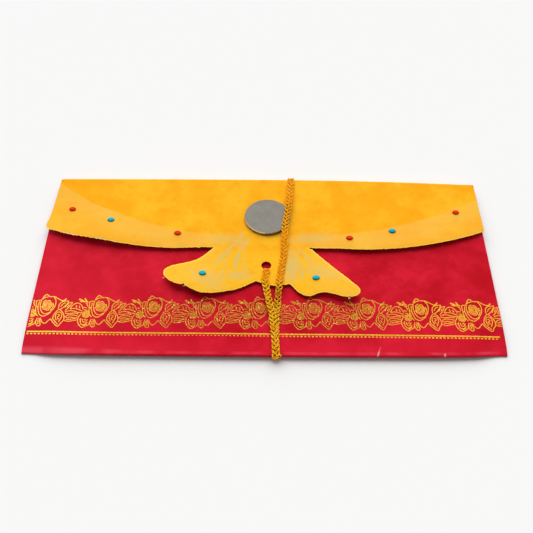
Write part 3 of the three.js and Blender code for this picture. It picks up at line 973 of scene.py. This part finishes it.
def threads_along(route, width=CORD_WIDTH, thick=CORD_THICK, openness=None):
    """A flat cord's threads: lists of points, shares of the radius, ways up and levels."""
    places = []
    for centre, ahead in curve_points(route, CORD_STEP):
        across = (Vector((1, 0, 0)) - ahead * ahead.x).normalized()
        places.append((centre, across, across.cross(ahead), openness(centre) if openness else 1))
    wires = []
    for strand in range(STRANDS):
        for thread in range(THREADS):
            wire = []
            for i, (centre, across, off, slim) in enumerate(places):
                length = i * CORD_STEP
                drift = noise.noise(Vector((length * 0.45, strand * 5, thread * 3)))
                slim *= 1 + 0.5 * noise.noise(Vector((length * 1.2, strand * 7, thread * 9)))
                angle = 2 * pi * ((length + thread * THREAD_LEAD) / LAY + strand / STRANDS) + 0.7 * drift
                reach = (width / 2 - THREAD_R) * (1 + 0.24 * noise.noise(centre * 0.9))
                x = reach * sin(angle) + 0.1 * drift
                x += CRIMP[0] * sin(2 * pi * length / CRIMP[1] + 2 * strand + thread)
                z = (thick / 2 - THREAD_R) * sin(2 * angle)
                wire.append((centre + across * x + off * z, slim, off, z))
            wires.append(wire)
    for core in CORES:
        wires.append([(centre + across * core * slim - off * 0.1, 1.2 * slim, off, CORE_LEVEL)
                      for centre, across, off, slim in places[::2]])
    return wires


def thread_piece(name, wires, gold, radius=THREAD_R):
    """Round threads, which note how high in the cord each point lies, from 0 to 1."""
    piece = finished(wire_curve(name, wires, radius, 1), [gold], sharp=180)
    spots = [spot for wire in wires for spot in wire]
    nearest = KDTree(len(spots))
    for i, (point, *_) in enumerate(spots):
        nearest.insert(point, i)
    nearest.balance()
    heights = []
    for vert in piece.data.vertices:
        point, _, off, level = spots[nearest.find(vert.co / MM)[1]]
        heights.append(0.5 + ((vert.co / MM - point).dot(off) + level) / (4 * radius))
    piece.data.attributes.new("height", "FLOAT", "POINT").data.foreach_set("value", heights)
    settle(piece)
    return piece


def loop_openness(centre):
    """The loop's braid is drawn out thin just below the flap's edge."""
    if centre.z < FRONT_TOP:
        return 1
    return 1 - 0.35 * max(0, 1 - abs(centre.y - down(BODY_LOW + 4.5)) / 6)


def cord_loop(gold):
    piece = thread_piece("loop_braid", threads_along(LOOP_ROUTE, openness=loop_openness), gold)
    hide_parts("cord_loop")
    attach(piece, "cord")
    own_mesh(piece)


def cord_tether(gold):
    piece = thread_piece("tether_braid", threads_along(TETHER_ROUTE[::-1]), gold)
    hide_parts("cord_tether")
    TETHER_START * MM
    up(1) * MM
    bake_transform(piece)


def knot_wire(centre, axes, sizes, start=0.0):
    """A thread tied in a trefoil, its half sizes along three axes."""
    wire = []
    for i in range(KNOT_STEPS + 1):
        t = start + 2 * pi * i / KNOT_STEPS
        reach = (2 + cos(3 * t)) / 3
        point = Vector(centre)
        for axis, size, value in zip(axes, sizes, (reach * cos(2 * t), reach * sin(2 * t), sin(3 * t))):
            point += axis * size * value
        wire.append((point, 1, axes[2], THREAD_R * sin(3 * t)))
    return wire


def edge_knot(gold):
    """The tie on the bottom fold: three trefoils wound over one another."""
    angle = radians(KNOT_TURN)
    out = Vector((0, -sin(angle), -cos(angle)))
    along = Vector((0, out.z, -out.y))
    across = Vector((1, 0, 0))
    axes = (across, along, out)
    middle = Vector((BOTTOM_X, *BOTTOM_AXIS)) + out * 1.2
    wires = [
        knot_wire(middle, axes, (1.9, 1.15, 0.36)),
        knot_wire(middle - out * 0.1 + across * 0.2, axes, (1.75, 0.9, 0.45), start=0.5),
        knot_wire(middle + along * 0.25 - across * 0.3, axes, (1.3, 1.1, 0.3), start=1.1),
    ]
    piece = thread_piece("edge_knot_threads", wires, gold, radius=0.24)
    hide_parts("edge_knot")
    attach(piece, "cord")


def stopper_knot(gold):
    """The knotted end under the flap, and its neck up through the hole."""
    x, rim, low = HOLE[0], down(HOLE[1] + HOLE_R) + 0.05, FLAP_Z - 0.5
    axes = Matrix.Identity(3)
    centre = (x, rim - 1.5, low)
    neck = [
        (x, TETHER_START - 0.3, ON_FLAP),
        (x, rim - 0.9, FLAP_TOP + 0.4),
        (x, rim - 0.25, FLAP_TOP + 0.2),
        (x, rim, FLAP_Z + CARD / 2),
        (x, rim - 0.05, FLAP_Z - 0.1),
        (x, rim - 0.9, low),
    ]
    wires = [
        knot_wire(centre, axes, (2.2, 1.5, 0.2)),
        knot_wire(centre, axes, (1.8, 1.4, 0.2), start=0.6),
        *threads_along(neck, width=2.6, thick=0.6),
    ]
    piece = thread_piece("stopper_knot_threads", wires, gold)
    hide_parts("stopper_knot")
    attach(piece, "flap")


# Coin, its glue and the stones

RIM_WIDTH = 0.8
RIM_RISE = 0.12
EDGE_ROUND = 0.2
COIN_STEPS = 128
GLUE_R = 7.5
# Beads of glue squeezed out round the coin: direction in degrees and size
BEADS = ((-93, 0.5), (-84, 0.28), (-101, 0.32), (-124, 0.3), (-62, 0.25), (-140, 0.24))


def coin(metal):
    """A plain worn coin: a flat field, a low raised rim and rounded edges."""
    half = (COIN_TOP - COIN_Z) / 2
    field = half - RIM_RISE
    rim = COIN_R - RIM_WIDTH
    upper = [(0, field), (rim - 0.35, field), (rim - 0.12, field + RIM_RISE * 0.35), (rim, half - 0.02),
             (rim + 0.1, half)]
    for turn in (0, pi / 6, pi / 3, pi / 2):
        upper.append((COIN_R - EDGE_ROUND * (1 - sin(turn)), half - EDGE_ROUND * (1 - cos(turn))))
    bm = bmesh.new()
    verts = [bm.verts.new(mm(r, 0, z)) for r, z in upper + [(r, -z) for r, z in reversed(upper)]]
    edges = [bm.edges.new(pair) for pair in zip(verts, verts[1:])]
    bmesh.ops.spin(bm, geom=verts + edges, cent=(0, 0, 0), axis=(0, 0, 1), angle=2 * pi, steps=COIN_STEPS,
                   use_merge=True)
    weld(bm)
    bmesh.ops.recalc_face_normals(bm, faces=bm.faces)
    bmesh.ops.translate(bm, vec=mm(COIN[0], down(COIN[1]), COIN_Z + half), verts=bm.verts)
    piece = finished(from_bmesh("plain_coin", bm), [metal])
    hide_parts("coin")
    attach(piece, "flap")


def coin_glue(glue):
    """The glue under the coin, with beads squeezed out at its lower edge."""
    bm = bmesh.new()
    foot = mm(COIN[0], down(COIN[1]), FLAP_TOP)
    depth = COIN_Z - FLAP_TOP
    bmesh.ops.create_cone(bm, cap_ends=True, segments=48, radius1=GLUE_R * MM, radius2=GLUE_R * MM,
                          depth=depth * MM, matrix=Matrix.Translation(foot + mm(0, 0, depth / 2)))
    for degrees, size in BEADS:
        angle = radians(degrees)
        at = foot + Vector((cos(angle), sin(angle), 0)) * (COIN_R + 0.1) * MM + mm(0, 0, 0.1)
        shape = Matrix.Translation(at) @ Matrix.Rotation(angle, 4, "Z") @ Matrix.Diagonal((0.7, 1.4, 0.7, 1))
        bmesh.ops.create_icosphere(bm, subdivisions=3, radius=size * MM, matrix=shape)
    piece = finished(from_bmesh("coin_glue_beads", bm), [glue])
    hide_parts("coin_glue")
    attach(piece, "flap")


STONE_R = 1.6
OVAL = 0.76  # its depth to one of its width
GIRDLE = 0.32
CROWN = 0.42
SHOULDER = 0.88  # the share of the radius where the crown's lower facets end
TABLE = 0.6  # the flat top's share of the radius
CHAMFER = 0.04
STONE_SIDES = {"red_stone": 6, "turquoise_stone": 8}


def stone(node, resin, slot, turn):
    """A flat-backed cut stone: a girdle, two rings of crown facets and a table."""
    low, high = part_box(node)
    sides = STONE_SIDES[slot]
    bm = bmesh.new()
    height = bm.verts.layers.float.new("height")
    bmesh.ops.create_circle(bm, cap_ends=True, segments=sides, radius=STONE_R * MM)
    ring, level = bm.faces[:], 0
    for rise, share in ((GIRDLE, 1), (CROWN * 0.6, SHOULDER), (CROWN * 0.4, TABLE / SHOULDER)):
        made = bmesh.ops.extrude_face_region(bm, geom=ring)["geom"]
        verts = of_kind(BMVert, made)
        bmesh.ops.translate(bm, vec=(0, 0, rise * MM), verts=verts)
        bmesh.ops.scale(bm, vec=(share, share, 1), verts=verts)
        bmesh.ops.rotate(bm, matrix=Matrix.Rotation(pi / sides * (share < 1), 3, "Z"), verts=verts)
        level += rise / (GIRDLE + CROWN)
        for vert in verts:
            vert[height] = level
        ring = of_kind(BMFace, made)
    bmesh.ops.recalc_face_normals(bm, faces=bm.faces)
    bmesh.ops.rotate(bm, matrix=Matrix.Rotation(turn, 3, "Z"), verts=bm.verts)
    bmesh.ops.scale(bm, vec=(1, OVAL, 1), verts=bm.verts)
    middle = (low + high) / 2
    bmesh.ops.translate(bm, vec=lifted(Vector((middle.x, middle.y, low.z))), verts=bm.verts)
    bmesh.ops.bevel(bm, geom=bm.edges[:], offset=CHAMFER * MM, segments=1, affect="EDGES", profile=0.5,
                    material=-1)
    piece = finished(from_bmesh("cut_" + node, bm), [resin], rounded=False)
    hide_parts(node)
    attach(piece, "flap")


# Foil border: rows of points, drawn about its own origin

LINE = 0.36  # width of a foil stroke
BORDER_PITCH = 21.7
FIRST_ROSE = -89
ROSE_Y = -23.6
RULE_Y = -36.95
RULE_WIDTH = 0.62
RULE_STEPS = 60
RULE_SHORT = 1.8  # how far the rule ends from the right-hand edge
DOT_DROP = 0.95
DOT_PITCH = 1.49
DOT = 0.6  # width of a dot; its half length is two thirds of that


def strokes(*rows, width=1):
    """Smooth strokes through rows of points, their width to one of LINE."""
    lines = [curve_points([(x, y, 0) for x, y in row], 0.35) for row in rows]
    return [(width * LINE, [(p.x, p.y) for p, _ in line]) for line in lines]


def spiral(cx, cy, wide, tall, turns, start):
    """A stroke that winds in to a point, such as the heart of a rose."""
    line = []
    steps = int(turns * 22)
    for i in range(steps + 1):
        left = 1 - i / steps
        angle = radians(start) + 2 * pi * turns * (1 - left)
        size = (0.12 + 0.88 * left) * (1 + 0.07 * cos(5 * angle))
        line.append((cx + wide * size * cos(angle), cy + tall * size * sin(angle)))
    return [(LINE, line)]


def rose():
    """An open rose: an oval outline with a pointed petal over it and a wound heart."""
    outline = ((-2.6, 2.2), (-2.8, -0.5), (-1.9, -3.4), (-0.5, -4.8), (1.2, -4.4), (2.8, -2.4), (3.4, 0.3),
               (3, 2.4), (2.1, 3.6))
    petal = ((-2.5, 2.4), (-1.8, 4.1), (-1.1, 4.9), (-0.4, 4.4), (0.5, 3.8), (2.3, 3.8), (4, 2.8), (5.7, 1.8))
    return [
        *strokes(outline),
        *strokes(petal, width=1.15),
        *strokes(((-2.2, 2.5), (-1.3, 3.4), (-0.2, 3.6))),
        *spiral(0.15, -0.45, 2.05, 2.9, 3.4, 110),
        *strokes(((2.2, 0.6), (2.6, -1.2), (1.7, -3.2)), ((-1.9, -1.2), (-2.4, -1.6))),
    ]


def sepals():
    """The long narrow leaf along the rose's left side and the stem under it."""
    return strokes(
        ((-4.6, 1.5), (-4.4, -1.7), (-4, -4.3), (-2.9, -6)),
        ((-4.7, 1.5), (-3.6, 1.9), (-2.6, 1.8)),
        ((-3.4, 1.2), (-3.6, -1.2), (-3, -3.6), (-2.2, -5.3), (-0.6, -6), (0.8, -5.2), (2, -4.2)),
        ((-4.3, -1.4), (-3.6, -1.5)),
        ((-1.6, -6.9), (-1.3, -7.6), (-0.4, -9.1), (0.6, -9.5), (1.6, -8.4), (2.5, -7.2)),
    )


def bloom():
    """A rose seen from its side: a wound heart over scalloped petals, with a leaf beside it."""
    return spiral(-5.1, -4.8, 1.75, 1.75, 3, 40) + strokes(
        ((-7.1, -4.3), (-8, -6), (-8.2, -7.6), (-7.6, -9.5), (-5.9, -11.1), (-4.5, -10.3), (-3.6, -9.8),
         (-3.1, -8)),
        ((-7, -6.6), (-7, -8.3), (-6.3, -9.7), (-5.1, -9.6), (-4.1, -8.4)),
        ((-6.3, -7), (-6, -8.3), (-5.1, -8.5), (-4.3, -7.2)),
        ((-5.7, -7.2), (-5.3, -7.5), (-4.9, -6.9)),
        ((-5.8, -10.2), (-4.9, -9.9), (-4.2, -9.3)),
        ((-7.6, -7.4), (-7, -7.5)),
        ((-2.8, -6.9), (-3.1, -9), (-2.1, -10.7), (-1.2, -10.5), (-1.5, -8.6), (-2.2, -6.9)),
        ((-2.4, -7.8), (-2, -9.8)),
    )


def bud():
    """A bud in its diamond of sepals, tip down."""
    return strokes(
        ((2.5, -7.2), (4.2, -9.4), (6, -10.8), (6.9, -9.3), (7.9, -7.5), (7.7, -5.7), (7, -4.2),
         (5.3, -2.6), (4, -4.2), (3.4, -6), (3.4, -7.2)),
        ((3.2, -6.9), (4.5, -8.5), (5.9, -9.9)),
        ((4.6, -4.2), (5.6, -3.8), (6.7, -4.9), (6.7, -6.6), (5.9, -8.7)),
        ((4.5, -4.4), (4.3, -6.1), (5, -7.9)),
        ((5.1, -4.9), (5.9, -5.5), (5.2, -6.5), (5.8, -7.4)),
    )


def leaves():
    """Leaves that fan out from the bud towards the next rose."""
    return strokes(
        ((4.9, -2.2), (4.9, -0.2), (5.6, 1), (7, 1.6), (8.6, 1.7)),
        ((8.6, 1.7), (8, 0.2), (6.9, -1.4), (5.6, -2.6)),
        ((5.6, -1.2), (6.3, 0.1), (7.4, 0.9)),
        ((7.4, -1.6), (8, -0.3), (9.1, 0.8), (10.2, 1.1)),
        ((10.2, 1.1), (9.6, -0.4), (8.6, -2), (7.7, -3.1)),
        ((8.3, -1.4), (9.1, -0.1)),
        ((9.6, -2.2), (10.5, -0.3), (11.7, 0.7), (13, 0.6), (14.2, -0.5), (15, -2.4)),
        ((9.7, -2.3), (11.2, -1.9), (12.9, -2.3), (14.8, -3.2)),
        ((11.8, -0.3), (12.3, -1.7)),
        ((13.1, -0.5), (13.6, -1.9)),
        ((7.8, -3.8), (9.4, -3.1), (11.2, -3.2), (13, -3.8), (14.8, -3.9)),
        ((7.9, -4.4), (9.8, -4.5), (11.6, -4.2), (13.4, -4.6)),
        ((8.2, -6.5), (8.9, -5.5), (10.3, -5.1), (11.9, -5.3), (13.4, -5.7)),
        ((8.7, -6.7), (10.4, -6.2), (12, -6.6), (13.2, -6.5)),
        ((7.8, -7.7), (9.4, -8.3), (11.2, -8), (13.2, -7.5)),
        ((8.8, -7.4), (10.8, -7.2), (12.4, -6.9)),
        ((15, -1.2), (16.4, -1.6)),
        ((15.4, -2.6), (16.6, -2.6)),
    )


def sprigs():
    """Short thick shoots over the sepals and at the end of the top petal."""
    return [
        *strokes(((-9.1, 2.8), (-7.7, 2.2), (-6.3, 1.3)), width=1.8),
        *strokes(((-6.8, 3.3), (-6.2, 2.3), (-5.8, 1.4)), width=1.6),
        *strokes(((-8.6, 1.9), (-7.4, 1.4)), width=1.3),
        *strokes(((-6.2, 1.2), (-5.4, 0.2), (-5.1, -0.9)), ((-5.5, 2), (-5.3, 0.8))),
        *strokes(((5.6, 1.7), (6.6, 2), (7.4, 2.9)), width=1.5),
    ]


def stroke_piece(name, lines, foil, height):
    """Flat raised strokes on the front, clipped at its sides; they rise to the left and fall to the right."""
    wires = [[(Vector((x, y, 0)), width / 2) for x, y in line] for width, line in lines]
    bm = bmesh.new()
    bm.from_mesh(baked(wire_curve(name, wires, 1, 0)))
    for way in (1, -1):
        score(bm, mm(way * (EDGE_X - 0.1), 0, 0), (way, 0, 0), dist=0, clear_outer=True)
    for vert in bm.verts:
        x, y = vert.co.x / MM, vert.co.y / MM
        vert.co.z = (FRONT_TOP + front_swell(x, y)) * MM + vert.co.z * height / (LINE / 2)
        vert.co.y += (0.3 * smooth((-60 - x) / 35) - 0.2 * smooth((x - 50) / 45)) * MM
    piece = finished(from_bmesh(name, bm), [foil], sharp=80)
    settle(piece)
    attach(piece, "pocket")


def foil_border(foil):
    """The garland, the rule under it and the row of dots under that."""
    unit = rose() + sepals() + bloom() + bud() + leaves() + sprigs()
    garland = []
    x = FIRST_ROSE - BORDER_PITCH
    while x < EDGE_X + BORDER_PITCH:
        garland += [(width, [(x + px, ROSE_Y + py) for px, py in line]) for width, line in unit]
        x += BORDER_PITCH
    stroke_piece("foil_garland", garland, foil, 0.025)
    rule_end = EDGE_X - RULE_SHORT
    rule = [(-EDGE_X + (EDGE_X + rule_end) * i / RULE_STEPS, RULE_Y) for i in range(RULE_STEPS + 1)]
    stroke_piece("foil_rule", [(RULE_WIDTH, rule)], foil, 0.03)
    dots = []
    x = -EDGE_X + DOT
    while x < rule_end:
        thin = 1 - 0.55 * exp(-((x + 30) / 28) ** 2)
        half = 0.4 * (0.6 + 0.4 * thin)
        dots.append((DOT * thin, [(x - half, RULE_Y - DOT_DROP), (x + half, RULE_Y - DOT_DROP)]))
        x += DOT_PITCH
    stroke_piece("foil_dots", dots, foil, 0.03)


# Stage

SUN_HEIGHT = 42
SUN_TURN = 4
SUN_WIDTH = 75
SUN_POWER = 3.34
SKY_POWER = 0.28
FLOOR_DROP = 0.02  # how far the floor lies below the envelope


def make_floor():
    bm = bmesh.new()
    bmesh.ops.create_grid(bm, x_segments=1, y_segments=1, size=1.5)
    bmesh.ops.translate(bm, vec=(0, 0, cad_box[0].z - FLOOR_DROP * MM), verts=bm.verts)
    floor = from_bmesh("floor", bm)
    paint = Finish("floor_paint", 0.1).feed(base_color=(0.95, 0.95, 0.945, 1), roughness=0.9)
    floor.data.materials.append(paint)


def make_sun():
    """A soft low sun from behind."""
    sun = bpy.data.lights.new("sun", "SUN")
    sun.energy = SUN_POWER
    sun.angle = radians(SUN_WIDTH)
    lamp = link("sun", sun)
    height, turn = radians(SUN_HEIGHT), radians(SUN_TURN)
    source = Vector((-sin(turn) * cos(height), cos(turn) * cos(height), sin(height)))
    lamp.rotation_mode = "QUATERNION"
    lamp.rotation_quaternion = source.to_track_quat("Z", "Y")
    lamp.visible_glossy = False


def make_room():
    """A faint world, which looks full white where it is seen, mirrored or seen through glass."""
    world = bpy.data.worlds.new("white_room")
    world.use_nodes = True
    room = Tree(world.node_tree)
    seen = room.node("LightPath", out="Is Camera Ray")
    for ray in ("Is Glossy Ray", "Is Transmission Ray"):
        seen = seen.over(room.node("LightPath", out=ray))
    background = world.node_tree.nodes["Background"]
    background.inputs["Color"].default_value = (1, 1, 1, 1)
    level = room.node("MapRange", values={"Value": seen, "To Min": SKY_POWER, "To Max": 1})
    room.join(background.inputs["Strength"], level)
    bpy.context.scene.world = world
    bpy.context.scene.view_settings.view_transform = "Standard"


make_camera()
make_floor()
make_sun()
make_room()
red = red_print()
yellow = yellow_print()
bare = bare_card()
foil = foil_print()
gold = gold_thread()
resins = {
    "red_stone": stone_resin("red_resin", "#8A0600", "#F03A10"),
    "turquoise_stone": stone_resin("turquoise_resin", "#002830", "#12BCD2"),
}
pocket_card([red, bare, cut_card("red_cut", "#C81E34", "#E88C90")])
flap_card([yellow, bare, cut_card("yellow_cut", "#FFAE1A", "#FFD24A")])
torn_fibres(cut_card("torn_core", "#FFE2B0", "#FFF6E0"))
for name in ("left_side_tab", "right_side_tab"):
    side_tab(name, red)
cord_loop(gold)
cord_tether(gold)
edge_knot(gold)
stopper_knot(gold)
coin(coin_metal())
coin_glue(dried_glue())
for part in frame["record"]["subparts"]:
    if part["node"].startswith("stone_"):
        stone(part["node"], resins[part["material_slot"]], part["material_slot"], random.uniform(0, 1))
foil_border(foil)
